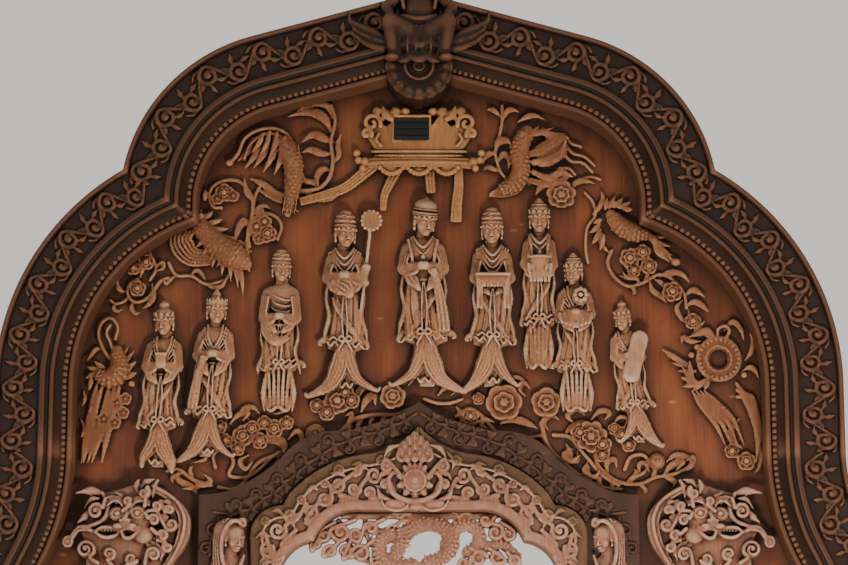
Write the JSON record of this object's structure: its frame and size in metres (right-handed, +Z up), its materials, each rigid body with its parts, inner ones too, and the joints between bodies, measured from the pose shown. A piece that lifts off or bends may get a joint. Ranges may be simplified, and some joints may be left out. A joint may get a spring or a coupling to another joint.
{
  "type": "carved temple door surround",
  "caption": "Carved timber temple doorway: trefoil frame, plank tympanum with robed figures, birds and flowers, and an ogee door head over an open doorway",
  "frame": {"origin": "on the floor under the middle of the doorway, midway between the plinths' fronts and backs", "axes": "+X to the right seen from the front, +Y from the front to the back, +Z up; the carved face looks along -Y"},
  "size_m": [5.1834, 0.6, 5.638],
  "materials": {
    "dark_frame_wood": "oiled dark hardwood, worn paler along its edges",
    "tympanum_boards": "oiled reddish-brown planks",
    "carved_figures": "bare pale carved hardwood, dusty in the hollows",
    "carved_plants": "bare pale carved hardwood, dusty in the hollows",
    "door_head_wood": "pinkish-brown carved hardwood",
    "ogee_board_wood": "dark brown hardwood",
    "plain_timber": "plain dark planed hardwood",
    "panel_black": "black slotted plate"
  },
  "bodies": {
    "root": {"attendant_bust_left": "door_head_wood", "attendant_bust_right": "door_head_wood", "attendant_far_left": "carved_figures", "attendant_far_right": "carved_figures", "attendant_left": "carved_figures", "batten_lower": "plain_timber", "batten_middle": "plain_timber", "batten_upper": "plain_timber", "bird_far_left": "carved_plants", "canopy_hem": "carved_plants", "central_figure": "carved_figures", "coiled_dragon": "carved_plants", "crown_guardian": "dark_frame_wood", "crown_rosette": "dark_frame_wood", "door_head_left": "door_head_wood", "door_head_medallion": "door_head_wood", "door_head_right": "door_head_wood", "door_jamb_left": "plain_timber", "door_jamb_right": "plain_timber", "dragon_fretwork": "door_head_wood", "figure_with_bowl": "carved_figures", "figure_with_cloth": "carved_figures", "figure_with_sling": "carved_figures", "figure_with_staff": "carved_figures", "figure_with_vase": "carved_figures", "frame_leg_left": "dark_frame_wood", "frame_leg_right": "dark_frame_wood", "frame_side_arch_left": "dark_frame_wood", "frame_side_arch_right": "dark_frame_wood", "frame_top_arch_left": "dark_frame_wood", "frame_top_arch_right": "dark_frame_wood", "garland_left": "carved_plants", "garland_right": "carved_plants", "lion_bracket_left": "door_head_wood", "lion_bracket_right": "door_head_wood", "lotus_canopy": "carved_plants", "ogee_board_left": "ogee_board_wood", "ogee_board_right": "ogee_board_wood", "phoenix_lower_left": "carved_plants", "phoenix_upper_left": "carved_plants", "phoenix_upper_right": "carved_plants", "plank_left_1": "tympanum_boards", "plank_left_2": "tympanum_boards", "plank_left_3": "tympanum_boards", "plank_left_4": "tympanum_boards", "plank_left_5": "tympanum_boards", "plank_middle": "tympanum_boards", "plank_right_1": "tympanum_boards", "plank_right_2": "tympanum_boards", "plank_right_3": "tympanum_boards", "plank_right_4": "tympanum_boards", "plank_right_5": "tympanum_boards", "plinth_left": "plain_timber", "plinth_right": "plain_timber", "side_pilaster_left": "plain_timber", "side_pilaster_right": "plain_timber", "slotted_panel": "panel_black", "vine_left": "carved_plants", "vine_right": "carved_plants"}
  },
  "joints": []
}
